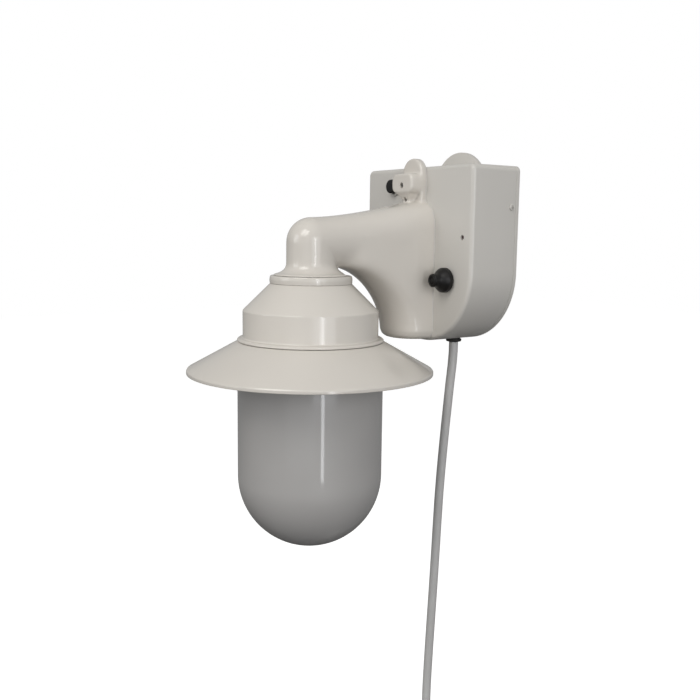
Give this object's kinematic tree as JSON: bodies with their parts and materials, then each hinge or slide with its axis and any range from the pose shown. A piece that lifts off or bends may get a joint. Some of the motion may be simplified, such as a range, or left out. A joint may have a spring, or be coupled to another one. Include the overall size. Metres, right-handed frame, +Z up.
{
  "type": "wall lamp",
  "caption": "Outdoor wall lamp: opal jar globe under a conical shade on a bracket arm, with a wall box that has a knob, a push button and a supply cord with plug.",
  "frame": {"origin": "centre of the wall box's height and width, on the back plate's wall face", "axes": "+Y into the wall, so the lamp reaches out along -Y; +Z up; +X to the right seen from the front"},
  "size_m": [0.2, 0.2571, 0.7318],
  "materials": {
    "lamp_plastic": "moulded off-white plastic with a soft gloss",
    "box_plastic": "moulded off-white plastic, satin",
    "black_plastic": "black moulded plastic, satin",
    "grey_plastic": "grey nylon",
    "rubber": "dark rubber, matte",
    "steel": "zinc plated",
    "brass": "plain brass",
    "porcelain": "glazed porcelain",
    "opal_glass": "polished opal glass",
    "bulb_glass": "frosted glass",
    "cord_sleeve": "grey cord sleeve, satin",
    "live_sleeve": "black wire sleeve",
    "neutral_sleeve": "white wire sleeve",
    "dark_lens": "dark red lens"
  },
  "bodies": {
    "lamp": {"arm_gasket": "rubber", "arm_nut_top": "steel", "arm_screw_lower": "steel", "arm_screw_root": "steel", "arm_screw_top": "steel", "back_plate": "box_plastic", "box_gasket": "rubber", "bulb_cap": "brass", "bulb_glass": "bulb_glass", "button_bezel": "steel", "button_switch": "grey_plastic", "canopy": "lamp_plastic", "canopy_collar": "lamp_plastic", "centre_contact": "brass", "clamp_screw_left": "steel", "clamp_screw_right": "steel", "cord_clamp": "grey_plastic", "cord_coil": "cord_sleeve", "cord_grommet": "cord_sleeve", "cord_lead_in": "cord_sleeve", "cord_tail": "cord_sleeve", "cord_tie": "black_plastic", "dimmer_body": "grey_plastic", "dimmer_nut": "steel", "lamp_arm": "lamp_plastic", "lamp_wire_live": "live_sleeve", "lamp_wire_neutral": "neutral_sleeve", "lampholder": "porcelain", "nipple_nut": "steel", "pilot_lamp": "dark_lens", "plug_blade_left": "brass", "plug_blade_right": "brass", "plug_body": "cord_sleeve", "plug_earth_pin": "brass", "screw_shell": "brass", "shade": "lamp_plastic", "shade_ring_nut": "steel", "side_screw_left": "steel", "side_screw_right": "steel", "supply_cord": "cord_sleeve", "supply_wire_live": "live_sleeve", "supply_wire_neutral": "neutral_sleeve", "terminal_block": "porcelain", "terminal_screw_1": "brass", "terminal_screw_2": "brass", "terminal_screw_3": "brass", "threaded_nipple": "steel", "wall_box": "box_plastic"},
    "knob": {"control_knob": "black_plastic", "dimmer_shaft": "steel"},
    "button": {"push_button": "black_plastic"},
    "globe_thread": {"globe_gasket": "rubber"},
    "globe": {"globe": "opal_glass"}
  },
  "joints": [
    {"name": "knob_turn", "type": "hinge", "parent": "lamp", "child": "knob", "pos_m": [0.0423, -0.056, -0.0203], "axis": [0, -1, 0], "range_deg": [0, 270]},
    {"name": "button_press", "type": "slide", "parent": "lamp", "child": "button", "axis": [0, 1, 0], "range_m": [0, 0.002], "stiffness_N_per_m": 200, "springref_m": -0.002},
    {"name": "globe_drop", "type": "slide", "parent": "lamp", "child": "globe_thread", "axis": [0, 0, -1], "range_m": [0, 0.006]},
    {"name": "globe_turn", "type": "hinge", "parent": "globe_thread", "child": "globe", "pos_m": [0, -0.1571, -0.08], "axis": [0, 0, 1], "range_deg": [0, 720]}
  ],
  "couplings": [
    {"joint": "globe_drop", "follows": "globe_turn", "m_per_rad": 0.00047746}
  ]
}
